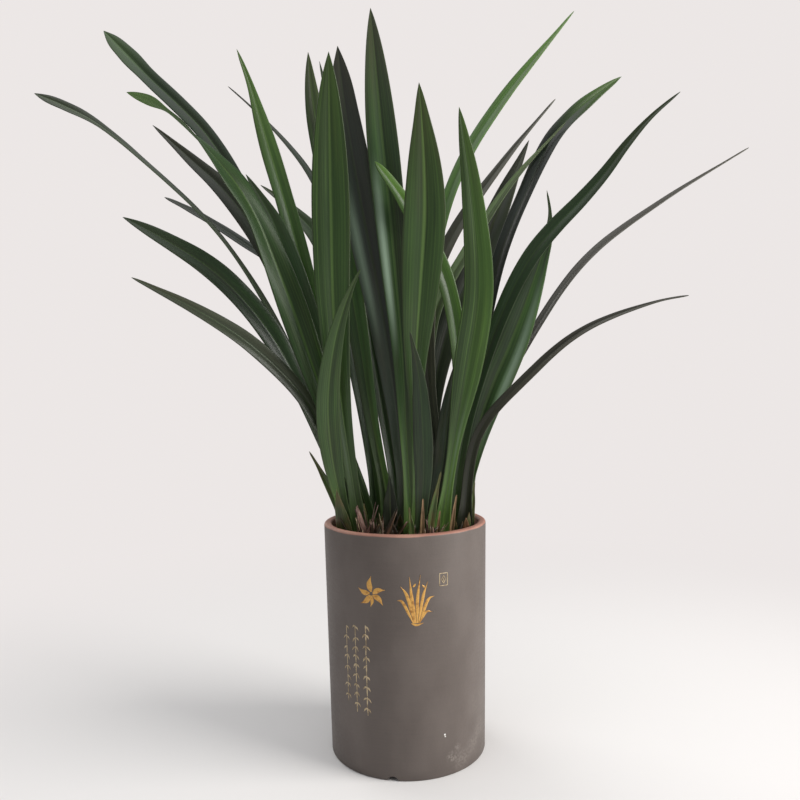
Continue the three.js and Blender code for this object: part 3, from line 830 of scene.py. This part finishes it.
def clayMaterial(inner):
    material, tree, shader = startMaterial("stonewareClay", Roughness=0.6)
    point = objectPoint(tree)
    parts = newNode(tree, "ShaderNodeSeparateXYZ")
    link(tree, point, parts.inputs[0])
    flatten = newNode(tree, "ShaderNodeVectorMath", operation="MULTIPLY")
    link(tree, point, flatten.inputs[0])
    flatten.inputs[1].default_value = (1, 1, 0)
    reach = newNode(tree, "ShaderNodeVectorMath", operation="LENGTH")
    link(tree, flatten.outputs[0], reach.inputs[0])
    radius = reach.outputs["Value"]
    turning = grain(tree, point, (0.05, 0.05, 1.0), 620, 1900, 0.38, 0.66)
    clouds = grain(tree, point, (1.0, 1.0, 0.55), 26, 420, 0.36, 0.68)
    colour = blendColour(tree, clouds["Broad"], potLook["clayDark"], potLook["clay"])
    lines = times(tree, turning["Broad"], 0.09)
    colour = blendColour(tree, lines, colour, potLook["clayPale"])
    specks = times(tree, clouds["Fine"], 0.10)
    colour = blendColour(tree, specks, colour, potLook["clayPale"])
    # pale scuffs low on the right, and one small chip
    for angle, height, size, share in potLook["scuffs"]:
        centre = onPot(angle, height)
        scuff = times(tree, spotMask(tree, point, centre, size * 0.3, size), clouds["Fine"])
        colour = blendColour(tree, times(tree, scuff, share), colour, potLook["smudge"])
    chip = spotMask(tree, point, onPot(25.5, 0.0435), 0.0007, 0.0005)
    chip = calc(tree, "MAXIMUM", chip, spotMask(tree, point, onPot(25.8, 0.0415), 0.0005, 0.0004))
    colour = blendColour(tree, chip, colour, (0.85, 0.83, 0.80, 1))
    # darker towards the foot
    footDarkening = times(tree, ramp(tree, parts.outputs[2], 0.012, 0.0), clouds["Broad"])
    colour = blendColour(tree, times(tree, footDarkening, 0.5), colour, rgb(66, 58, 54))
    # red clay shows on the lip and inside, darkened lower inside the pot as painted shade
    wobble = calc(tree, "MULTIPLY_ADD", clouds["Broad"], 0.0008, parts.outputs[2])
    onLip = ramp(tree, wobble, rimZ - 0.0019, rimZ - 0.0010)
    inside = ramp(tree, radius, inner + 0.0016, inner + 0.0006)
    red = blendColour(tree, clouds["Broad"], potLook["redClay"], rgb(178, 134, 116))
    # painted shade: the red clay inside darkens with depth below the rim
    deep = ramp(tree, parts.outputs[2], rimZ - 0.004, rimZ - 0.026)
    redInside = blendColour(tree, deep, red, potLook["redClayInShade"])
    colour = blendColour(tree, calc(tree, "MAXIMUM", onLip, inside), colour, redInside)
    link(tree, colour, shader.inputs["Base Color"])
    rough = calc(tree, "MULTIPLY_ADD", clouds["Fine"], 0.12, 0.50)
    rough = calc(tree, "MULTIPLY_ADD", turning["Broad"], 0.06, rough)
    link(tree, rough, shader.inputs["Roughness"])
    height = calc(tree, "MULTIPLY_ADD", turning["Height"], 0.8, times(tree, clouds["Fine"], 0.35))
    addBump(tree, shader, height, 0.16, 0.0004)
    return material


pot, potInner = makePot()
giveMaterial(pot, clayMaterial(potInner))
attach(pot, "root")
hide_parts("pot")
print("stage: pot", len(pot.data.polygons), "faces")


# ---- carved ornament: gilt orchid motifs and bamboo ----
ornament = {
    "proud": 0.00030,     # how far a stroke's middle stands out of the clay
    "sunk": 0.0006,
    "across": 4,
    "degree": 1.396,      # mm round the pot for each degree
}


def brushStroke(points, width, taper=(0.35, 0.15), steps=14):
    # one tapered stroke on the pot; points are (angle, height in mm), width in mm at the widest
    bpy.ops.mesh.primitive_grid_add(x_subdivisions=ornament["across"], y_subdivisions=steps, size=1)
    stroke = bpy.context.object
    line = [Vector((a, h, 0)) for a, h in points]
    if len(line) == 2:
        line.insert(1, (line[0] + line[1]) / 2)
    degree = math.radians(1) * potRadius * 1000  # mm round the pot for each degree

    def at(t):
        return curveAt(line, t * (len(line) - 1))

    for vertex in stroke.data.vertices:
        t = min(max(vertex.co.y + 0.5, 0), 1)
        side = vertex.co.x * 2
        spot = at(t)
        ahead, behind = at(min(t + 0.02, 1)), at(max(t - 0.02, 0))
        along = Vector(((ahead.x - behind.x) * degree, ahead.y - behind.y, 0)).normalized()
        body = mix(taper[0], 1, smoothStep(t, 0, 0.3)) * mix(taper[1], 1, smoothStep(1 - t, 0, 0.55))
        offset = side * width / 2 * body
        angle = spot.x + (-along.y * offset) / degree
        height = (spot.y + along.x * offset) / 1000
        vertex.co = onPot(angle, height, ornament["proud"] * (1 - 0.8 * side * side))
    base = stroke.modifiers.new("body", "SOLIDIFY")
    base.thickness = ornament["sunk"]
    base.offset = 1
    applyAll(stroke)
    return stroke


def joinPieces(pieces, name):
    bpy.ops.object.select_all(action="DESELECT")
    for piece in pieces:
        piece.select_set(True)
    bpy.context.view_layer.objects.active = pieces[0]
    if len(pieces) > 1:
        bpy.ops.object.join()
    piece = bpy.context.object
    piece.name = name
    makeActive(piece)
    return piece


def outward(piece):
    # point every face out again
    makeActive(piece)
    bpy.ops.object.mode_set(mode="EDIT")
    bpy.ops.mesh.select_all(action="SELECT")
    bpy.ops.mesh.normals_make_consistent(inside=False)
    bpy.ops.mesh.select_all(action="DESELECT")
    bpy.ops.object.mode_set(mode="OBJECT")


def blossomStrokes():
    strokes = []
    middleA, middleH = -23.4, 183.0
    petals = ((90, 16.5, 5.4), (162, 14.0, 4.8), (18, 14.0, 4.8), (222, 15.0, 5.0), (318, 15.0, 5.0))
    for turn, length, width in petals:
        a = math.radians(turn)
        bend = math.radians(turn + 12)
        reach = [(0.12, a), (0.55, bend), (1.0, a)]
        points = [(middleA + math.cos(d) * length * f / ornament["degree"],
                   middleH + math.sin(d) * length * f)
                  for f, d in reach]
        strokes.append(brushStroke(points, width, taper=(0.35, 0.1)))
    lip = [(middleA, middleH - 1.5), (middleA + 0.5, middleH - 7), (middleA - 0.6, middleH - 12)]
    strokes.append(brushStroke(lip, 3.4))
    strokes.append(brushStroke([(middleA - 1.6, middleH - 1), (middleA - 2.6, middleH - 5)], 1.2))
    strokes.append(brushStroke([(middleA + 1.6, middleH - 1), (middleA + 2.6, middleH - 5)], 1.2))
    return strokes


def tuftStrokes():
    strokes = []
    rootA, rootH = 6.6, 156.5
    blades = [
        ((-6.0, 178), (-2.2, 176), 2.6), ((-3.6, 191), (0.6, 182), 3.0), ((2.2, 200), (3.6, 180), 3.2),
        ((9.4, 201.5), (7.4, 180), 3.0), ((14.2, 195), (11.0, 181), 2.8), ((18.6, 181), (14.0, 177), 2.8),
        ((17.2, 166), (13.0, 166.5), 2.2),
    ]
    for tip, middle, width in blades:
        foot = (rootA + (middle[0] - rootA) * 0.25, rootH)
        strokes.append(brushStroke([foot, middle, tip], width, taper=(0.4, 0.08)))
    strokes.append(brushStroke([(3.0, 156.2), (6.8, 154.6), (11.0, 156.4)], 2.0, taper=(0.3, 0.3)))
    strokes.append(brushStroke([(4.6, 190.5), (6.2, 193.5)], 1.8, taper=(0.5, 0.4), steps=6))
    strokes.append(brushStroke([(12.0, 189.5), (10.6, 192.0)], 1.6, taper=(0.5, 0.4), steps=6))
    return strokes


def bambooStrokes():
    strokes = []
    dice = random.Random(8)
    stalks = ((-45.2, 148, 72, 1.1), (-37.0, 150.5, 63, 1.2), (-28.4, 152, 61, 1.35))
    for angle, top, bottom, width in stalks:
        height = top
        side = 1
        while height > bottom + 4:
            step = dice.uniform(8.0, 11.5)
            end = max(height - step, bottom)
            lean = dice.uniform(-0.25, 0.25)
            joint = [(angle, height), (angle + lean, end + 0.8)]
            strokes.append(brushStroke(joint, width, taper=(0.7, 0.6), steps=6))
            for number in range(dice.choice((1, 2, 2))):
                reach = dice.uniform(2.2, 3.3) * side
                drop = dice.uniform(2.5, 5.0)
                start = height - dice.uniform(0.3, 1.6)
                points = [(angle + 0.3 * side, start), (angle + reach * 0.6, start - drop * 0.35),
                          (angle + reach, start - drop)]
                strokes.append(brushStroke(points, width * 1.35, taper=(0.3, 0.1), steps=6))
                side = -side
            height = end
    return strokes


def sealStrokes():
    strokes = []
    left, right, low, high = 22.4, 28.2, 189.5, 201.0
    corners = [(left, low), (left, high), (right, high), (right, low)]
    for first, second in zip(corners, corners[1:] + corners[:1]):
        strokes.append(brushStroke([first, second], 0.75, taper=(0.9, 0.9), steps=8))
    middleA, middleH = (left + right) / 2, (low + high) / 2
    tips = [(middleA, high - 2.2), (right - 1.3, middleH), (middleA, low + 2.2), (left + 1.3, middleH)]
    for first, second in zip(tips, tips[1:] + tips[:1]):
        strokes.append(brushStroke([first, second], 0.7, taper=(0.9, 0.9), steps=5))
    dot = [(middleA, middleH + 1.2), (middleA, middleH - 1.2)]
    strokes.append(brushStroke(dot, 1.0, taper=(0.8, 0.8), steps=5))
    return strokes


def giltMaterial(name, bright, worn, wear, metallic):
    material, tree, shader = startMaterial(name, Metallic=metallic)
    point = objectPoint(tree)
    flakes = grain(tree, point, (1, 1, 1), 260, 1500, wear[0], wear[1])
    colour = blendColour(tree, flakes["Broad"], worn, bright)
    tint = times(tree, flakes["Fine"], 0.35)
    colour = blendColour(tree, tint, colour, worn)
    link(tree, colour, shader.inputs["Base Color"])
    link(tree, calc(tree, "MULTIPLY_ADD", flakes["Fine"], 0.2, 0.36), shader.inputs["Roughness"])
    addBump(tree, shader, flakes["Height"], 0.3, 0.0002)
    return material


giltBright = giltMaterial("carvedGilt", rgb(222, 172, 92), rgb(168, 116, 58), (0.30, 0.52), 0.35)
giltPale = giltMaterial("wornPaleGilt", rgb(206, 186, 150), rgb(142, 122, 92), (0.34, 0.60), 0.1)
motifs = (
    ("gilt_blossom", blossomStrokes(), giltBright), ("gilt_leaf_tuft", tuftStrokes(), giltBright),
    ("carved_bamboo", bambooStrokes(), giltPale), ("carved_lozenge", sealStrokes(), giltPale),
)
for name, strokes, material in motifs:
    motif = joinPieces(strokes, name)
    outward(motif)
    bpy.ops.object.shade_smooth_by_angle(angle=math.radians(50))
    giveMaterial(motif, material)
    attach(motif, "root")
print("stage: ornament")


# ---- bark ----
barkLook = {
    "chips": 620,
    "bedDepth": 0.05,
    "rings": 11,             # cuts in the bed's top, from the clay inwards
    "ringWidth": 0.006,
    "deep": rgb(44, 28, 18),
    "brown": rgb(104, 70, 46),
    "pale": rgb(150, 116, 82),
}


def barkMaterial(name, deep, brown, pale):
    material, tree, shader = startMaterial(name, Roughness=0.85)
    point = objectPoint(tree)
    fibres = grain(tree, point, (1, 1, 0.35), 130, 900, 0.38, 0.62)
    tone = newNode(tree, "ShaderNodeAttribute", attribute_name="chipTone")
    colour = blendColour(tree, fibres["Broad"], deep, brown)
    colour = blendColour(tree, times(tree, tone.outputs["Fac"], 0.75), colour, pale)
    colour = blendColour(tree, times(tree, fibres["Fine"], 0.35), colour, deep)
    link(tree, colour, shader.inputs["Base Color"])
    link(tree, calc(tree, "MULTIPLY_ADD", fibres["Fine"], 0.2, 0.68), shader.inputs["Roughness"])
    addBump(tree, shader, fibres["Height"], 0.7, 0.0012)
    return material


def makeBarkBed():
    reach = potInner - 0.0004
    depth = barkLook["bedDepth"]
    bpy.ops.mesh.primitive_cylinder_add(
        vertices=96, radius=reach, depth=depth, location=(0, 0, barkTop - depth / 2))
    bed = bpy.context.object
    bed.name = "bark_bed"
    place(bed)
    bpy.ops.object.mode_set(mode="EDIT")
    bpy.ops.mesh.select_all(action="DESELECT")
    work = bmesh.from_edit_mesh(bed.data)
    for face in work.faces:
        face.select = face.normal.z > 0.9
    bmesh.update_edit_mesh(bed.data)
    for ring in range(barkLook["rings"]):
        bpy.ops.mesh.inset(thickness=barkLook["ringWidth"])
    bpy.ops.mesh.select_all(action="DESELECT")
    bpy.ops.object.mode_set(mode="OBJECT")
    for vertex in bed.data.vertices:
        if vertex.co.z > barkTop - 0.001:
            bumps = noise.noise(vertex.co * 70) * 0.0025 + noise.noise(vertex.co * 190) * 0.0012
            edge = smoothStep(vertex.co.xy.length, reach - barkLook["ringWidth"], reach)
            vertex.co.z += bumps * (1 - edge) - 0.0022
    bpy.ops.object.shade_smooth_by_angle(angle=math.radians(50))
    return bed


def makeChips():
    dice = random.Random(21)
    parts = []
    for kind in range(5):
        bpy.ops.mesh.primitive_cube_add(size=1)
        seed = bpy.context.object
        bpy.ops.object.mode_set(mode="EDIT")
        bpy.ops.mesh.select_all(action="SELECT")
        bpy.ops.mesh.subdivide(number_cuts=1)
        bpy.ops.mesh.select_all(action="DESELECT")
        bpy.ops.object.mode_set(mode="OBJECT")
        size = Vector((dice.uniform(0.008, 0.014), dice.uniform(0.005, 0.009), dice.uniform(0.002, 0.0042)))
        for vertex in seed.data.vertices:
            co = vertex.co
            rounding = 1 - 0.32 * max(0, co.length - 0.55)
            rough = 1 + 0.22 * noise.noise(co * 3.1 + Vector((kind * 5.3, 0, 0)))
            vertex.co = Vector((co.x * size.x, co.y * size.y, co.z * size.z)) * rounding * rough
        parts.append(seed)
    chips = []
    count = 0
    while count < barkLook["chips"]:
        spot = Vector((dice.uniform(-1, 1), dice.uniform(-1, 1), 0)) * (potInner - 0.007)
        if spot.length > potInner - 0.0075:
            continue
        chip = parts[count % len(parts)].copy()
        chip.data = chip.data.copy()
        scene.collection.objects.link(chip)
        lift = dice.uniform(-0.003, 0.0022)
        turn = Matrix.Rotation(dice.uniform(0, math.tau), 4, "Z")
        turn = turn @ Matrix.Rotation(dice.gauss(0, 0.35), 4, "X")
        turn = turn @ Matrix.Rotation(dice.gauss(0, 0.3), 4, "Y")
        chip.data.transform(Matrix.Translation((spot.x, spot.y, barkTop + lift)) @ turn)
        tone = chip.data.attributes.new("chipTone", "FLOAT", "POINT")
        share = dice.random() ** 2
        tone.data.foreach_set("value", [share] * len(chip.data.vertices))
        chips.append(chip)
        count += 1
    for seed in parts:
        bpy.data.objects.remove(seed)
    return joinPieces(chips, "bark_chips")


barkFinish = barkMaterial("barkMix", barkLook["deep"], barkLook["brown"], barkLook["pale"])
bed = makeBarkBed()
chips = makeChips()
makeActive(chips)
bpy.ops.object.shade_smooth_by_angle(angle=math.radians(28))
for piece in (bed, chips):
    giveMaterial(piece, barkFinish)
    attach(piece, "root")
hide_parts("bark_mix")
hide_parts("bark_mix")
print("stage: bark")


# ---- sheaths and old bulbs ----
# the two half tones are painted light and shade on the sheaths' halves
sheathLook = {
    "sheath_green": palette(
        (70, 88, 44), (104, 112, 66), (92, 84, 50), (104, 124, 70), (120, 138, 84),
        (96, 74, 48), (66, 90, 44), (54, 72, 36), (110, 124, 80),
    ),
    "sheath_dry": palette(
        (118, 96, 66), (92, 68, 48), (158, 130, 96), (160, 134, 98), (92, 68, 46),
        (84, 58, 40), (128, 104, 74), (96, 76, 52), (150, 122, 86),
    ),
}
sheathShape = {
    "columns": 8, "rows": 30, "thickness": 0.0007, "waveHeight": 0.12, "waveCount": 2.2, "footSpread": 1.0,
}
sheathNumbers = {
    "Vein Count": 4.0, "Vein Share": 0.6, "Edge Share": 0.8, "Blotch Share": 0.8, "Root Reach": 0.5,
    "Tip Start": 0.6,
}
sheathNodes = [node for node in sorted(frame["nodes"]) if slotOf[node] in sheathLook]
for index, node in enumerate(sheathNodes):
    look = {**leafNumbers, **sheathNumbers, **sheathLook[slotOf[node]], "Seed": 200 + index * 2.3,
            "coat": 0.0}
    if node == "broad_stub":
        look.update({
            "Blade": rgb(34, 42, 28), "Root": rgb(52, 46, 32), "Tip": rgb(32, 40, 26),
            "Vein": rgb(46, 56, 36),
            "Edge": rgb(40, 40, 28), "Left Half Shading": rgb(38, 46, 32), "Right Half Shading": rgb(30, 36, 24),
        })
    slim = [(0.0, 0.72), (0.5, 0.6), (1.0, 0.8)] if slotOf[node] == "sheath_dry" else []
    piece = makeLeaf(node, look, {**sheathShape, "widths": slim})
print("stage:", len(sheathNodes), "sheaths")


def bulbMaterial():
    material, tree, shader = startMaterial("oldBulb", Roughness=0.6)
    point = objectPoint(tree)
    skin = grain(tree, point, (1, 1, 0.18), 300, 700, 0.36, 0.64)
    parts = newNode(tree, "ShaderNodeSeparateXYZ")
    link(tree, point, parts.inputs[0])
    up = ramp(tree, parts.outputs[2], barkTop, barkTop + 0.016)
    colour = blendColour(tree, up, rgb(78, 54, 38), rgb(74, 70, 40))
    colour = blendColour(tree, times(tree, skin["Broad"], 0.6), colour, rgb(112, 86, 58))
    colour = blendColour(tree, times(tree, skin["Fine"], 0.3), colour, rgb(60, 48, 30))
    link(tree, colour, shader.inputs["Base Color"])
    link(tree, calc(tree, "MULTIPLY_ADD", skin["Fine"], 0.2, 0.45), shader.inputs["Roughness"])
    addBump(tree, shader, skin["Height"], 0.6, 0.0008)
    return material


def makeBulb(node):
    low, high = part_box(node)
    middle = (low + high) / 2
    radius = (high.x - low.x) / 2
    tall = (high.z - low.z) / 0.75
    bpy.ops.mesh.primitive_uv_sphere_add(segments=56, ring_count=28, radius=1, location=(0, 0, 0))
    bulb = bpy.context.object
    bulb.name = node + "_old"
    dice = random.Random(node)
    spin = dice.uniform(0, 6)
    for vertex in bulb.data.vertices:
        co = vertex.co
        turn = math.atan2(co.y, co.x)
        rib = 1 - 0.07 * (0.5 + 0.5 * math.cos(turn * 8 + spin)) * math.sqrt(max(1 - co.z * co.z, 0))
        wrinkle = 1 + 0.03 * noise.noise(Vector((co.x * 4, co.y * 4, co.z * 1.5)) + Vector((spin, 0, 0)))
        height = co.z * tall / 2 + high.z - tall / 2
        reach = radius * rib * wrinkle
        vertex.co = Vector((middle.x + co.x * reach, middle.y + co.y * reach, height))
    bpy.ops.object.shade_smooth()
    return bulb


bulbFinish = bulbMaterial()
for node in sorted(frame["nodes"]):
    if slotOf[node] == "bulb":
        bulb = makeBulb(node)
        giveMaterial(bulb, bulbFinish)
        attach(bulb, "root")
        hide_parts(node)
print("stage: bulbs")


# ---- scales that wrap the leaves' feet, and dry fibres between them ----
scaleLook = {
    "columns": 8,
    "rows": 12,
    "thickness": 0.0005,
    "radius": 0.0075,
}


def makeScale(foot, lean, height, radius, facing, dice, torn=0.04, grid=None):
    # a short pointed half tube round a leaf's foot, torn at its edge
    columns, rows = grid or (scaleLook["columns"], scaleLook["rows"])
    bpy.ops.mesh.primitive_grid_add(x_subdivisions=columns, y_subdivisions=rows, size=1)
    scale = bpy.context.object
    scale.data.uv_layers[0].name = "leafUv"
    wrap = math.radians(dice.uniform(45, 80))
    tear = dice.uniform(0, 9)
    skew = dice.uniform(-0.25, 0.25)
    for vertex in scale.data.vertices:
        s = vertex.co.x * 2
        t = min(max(vertex.co.y + 0.5, 0), 1)
        narrow = (1 - t ** 1.7) * (1 + 0.18 * noise.noise(Vector((s * 2, t * 6, tear)))) * (1 - torn) + torn
        angle = facing + s * wrap * narrow + skew * t
        reach = radius * (1 + 0.25 * (1 - t)) * (1 + 0.25 * t * t)
        spine = foot + lean * (height * t)
        ragged = 1 + (0.10 + torn * 0.6) * t * noise.noise(Vector((s * 7, tear, 0)))
        out = Vector((math.cos(angle), math.sin(angle), 0)) * reach
        vertex.co = foot + (spine - foot) * ragged + out
    solid = scale.modifiers.new("thickness", "SOLIDIFY")
    solid.thickness = scaleLook["thickness"]
    solid.offset = 0
    applyAll(scale)
    marks = scale.data.attributes.new("underside", "FLOAT", "POINT")
    marks.data.foreach_set("value", [0.0] * len(scale.data.vertices))
    if grid is None:
        smooth = scale.modifiers.new("smooth", "SUBSURF")
        smooth.levels = smooth.render_levels = 1
        applyAll(scale)
    makeActive(scale)
    bpy.ops.object.shade_smooth()
    return scale


def leafFoot(node):
    rings = leafRings(node)
    foot = sum(rings[0], Vector()) / 6
    above = sum(rings[2], Vector()) / 6
    return foot, (above - foot).normalized()


# the half tones are painted light and shade on the scales' halves
scaleGreen = leafMaterial("footScaleGreen", {
    **leafNumbers, **sheathNumbers, "coat": 0.05, "Seed": 301.0,
    **palette(
        (58, 74, 38), (86, 84, 52), (96, 80, 50), (84, 98, 56), (84, 98, 56),
        (84, 58, 40), (58, 74, 38), (46, 58, 30), (90, 96, 62)), "Keel Share": 0.1,
})
scaleBrown = leafMaterial("footScaleBrown", {
    **leafNumbers, **sheathNumbers, "coat": 0.0, "Seed": 317.0,
    **palette(
        (104, 72, 50), (70, 46, 32), (146, 112, 80), (140, 106, 74), (120, 88, 60),
        (72, 44, 32), (110, 78, 56), (84, 56, 40), (120, 90, 64)), "Keel Share": 0.1,
})
fans = {
    # fan: scales of each kind, and their height in mm
    "left_fan": (5, 5, (26, 60)),
    "inner_left_fan": (4, 9, (18, 46)),
    "centre_fan": (4, 4, (18, 44)),
    "inner_right_fan": (4, 7, (18, 50)),
    "right_fan": (5, 4, (22, 54)),
    "back_fan": (3, 3, (20, 44)),
}
for fan, (green, brown, (shortest, tallest)) in fans.items():
    dice = random.Random(fan)
    feet = [leafFoot(node) for node in leafNodes if node.startswith(fan + "_leaf")]
    for kind, count, material in (("green", green, scaleGreen), ("brown", brown, scaleBrown)):
        made = []
        for number in range(count):
            foot, lean = feet[number % len(feet)]
            height = dice.uniform(shortest, tallest) / 1000 * (1 if kind == "green" else 0.7)
            facing = dice.uniform(0, math.tau) if number % 2 else -math.pi / 2 + dice.uniform(-0.9, 0.9)
            sunk = foot - Vector((0, 0, 0.003))
            radius = scaleLook["radius"] * dice.uniform(0.6, 1.1)
            made.append(makeScale(sunk, lean, height, radius, facing, dice))
        piece = joinPieces(made, fan + "_scales_" + kind)
        giveMaterial(piece, material)
        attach(piece, "root")
print("stage: foot scales")


# torn papery pieces of old sheaths, lying and standing between the fans
debrisLook = {
    "grid": (3, 7),
    # heap: middle, half spread, how many, and height in mm
    "heaps": [
        ((-0.030, -0.036), (0.016, 0.010), 40, (14, 46)),
        ((0.018, -0.046), (0.026, 0.009), 26, (10, 32)),
        ((0.0, 0.02), (0.04, 0.03), 34, (6, 22)),
        ((-0.03, 0.03), (0.02, 0.02), 14, (6, 20)),
    ],
    "colours": {
        "debris_dark": (rgb(50, 42, 32), rgb(34, 27, 20), rgb(78, 64, 48)),
        "debris_brown": (rgb(74, 56, 44), rgb(46, 34, 26), rgb(108, 84, 68)),
        "debris_rust": (rgb(98, 72, 64), rgb(62, 44, 38), rgb(134, 106, 96)),
        "debris_tan": (rgb(112, 96, 72), rgb(74, 60, 44), rgb(142, 126, 100)),
    },
}


def makeDebris():
    dice = random.Random(61)
    made = {name: [] for name in debrisLook["colours"]}
    for (x, y), (spreadX, spreadY), count, (shortest, tallest) in debrisLook["heaps"]:
        for number in range(count):
            foot = Vector((x + dice.uniform(-1, 1) * spreadX, y + dice.uniform(-1, 1) * spreadY,
                           barkTop - 0.002))
            height = dice.uniform(shortest, tallest) / 1000
            if foot.xy.length > potInner - 0.009:
                continue
            lean = Vector((dice.gauss(0, 0.38), dice.gauss(0, 0.38), 1)).normalized()
            radius = dice.uniform(0.0012, 0.0040)
            facing = dice.uniform(0, math.tau)
            torn = dice.uniform(0.15, 0.6)
            piece = makeScale(foot, lean, height, radius, facing, dice, torn, debrisLook["grid"])
            made[dice.choices(list(made), weights=(4, 3, 2, 1))[0]].append(piece)
    for name, pieces in made.items():
        blade, root, tip = debrisLook["colours"][name]
        piece = joinPieces(pieces, name)
        piece.data.materials.clear()
        piece.data.materials.append(leafMaterial(name + "Finish", {
            **leafNumbers, **sheathNumbers, "coat": 0.0, "Seed": 400.0 + len(pieces), "Blade": blade,
            "Root": root,
            "Tip": tip, "Vein": tip, "Keel": blade, "Edge": root, "Left Half Shading": blade, "Right Half Shading": blade,
            "Under": tip,
        }))
        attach(piece, "root")


makeDebris()
print("stage: debris")


fibreLook = {"count": 150, "steps": 7}


def makeFibres():
    dice = random.Random(5)
    feet = [leafFoot(node)[0] for node in leafNodes]
    made = []
    for number in range(fibreLook["count"]):
        foot = dice.choice(feet) + Vector((dice.uniform(-0.011, 0.011), dice.uniform(-0.011, 0.011),
                                           -0.002))
        if foot.xy.length > potInner - 0.006:
            continue
        bpy.ops.mesh.primitive_cylinder_add(vertices=5, radius=1, depth=1)
        strand = bpy.context.object
        bpy.ops.object.mode_set(mode="EDIT")
        bpy.ops.mesh.select_all(action="DESELECT")
        work = bmesh.from_edit_mesh(strand.data)
        upright = [edge for edge in work.edges if abs(edge.verts[0].co.z - edge.verts[1].co.z) > 0.5]
        bmesh.ops.subdivide_edges(work, edges=upright, cuts=fibreLook["steps"])
        bmesh.update_edit_mesh(strand.data)
        bpy.ops.object.mode_set(mode="OBJECT")
        height = dice.uniform(0.008, 0.034)
        away = Vector((dice.uniform(-1, 1), dice.uniform(-1, 1), 0)) * 0.010
        curl = Vector((dice.uniform(-1, 1), dice.uniform(-1, 1), 0)) * 0.006
        thick = dice.uniform(0.00022, 0.0005)
        for vertex in strand.data.vertices:
            t = vertex.co.z + 0.5
            rise = Vector((0, 0, height * t * (1 - 0.25 * t)))
            spine = foot + rise + away * t * t + curl * math.sin(math.pi * t)
            vertex.co = spine + Vector((vertex.co.x, vertex.co.y, 0)) * thick * (1 - 0.75 * t)
        made.append(strand)
    return joinPieces(made, "dry_fibres")


fibres = makeFibres()
makeActive(fibres)
bpy.ops.object.shade_smooth()
marks = fibres.data.attributes.new("chipTone", "FLOAT", "POINT")
marks.data.foreach_set("value", [0.6] * len(fibres.data.vertices))
giveMaterial(fibres, barkMaterial("dryFibre", rgb(84, 54, 36), rgb(140, 104, 72), rgb(178, 144, 104)))
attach(fibres, "root")
print("stage: fibres")

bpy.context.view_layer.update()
import json
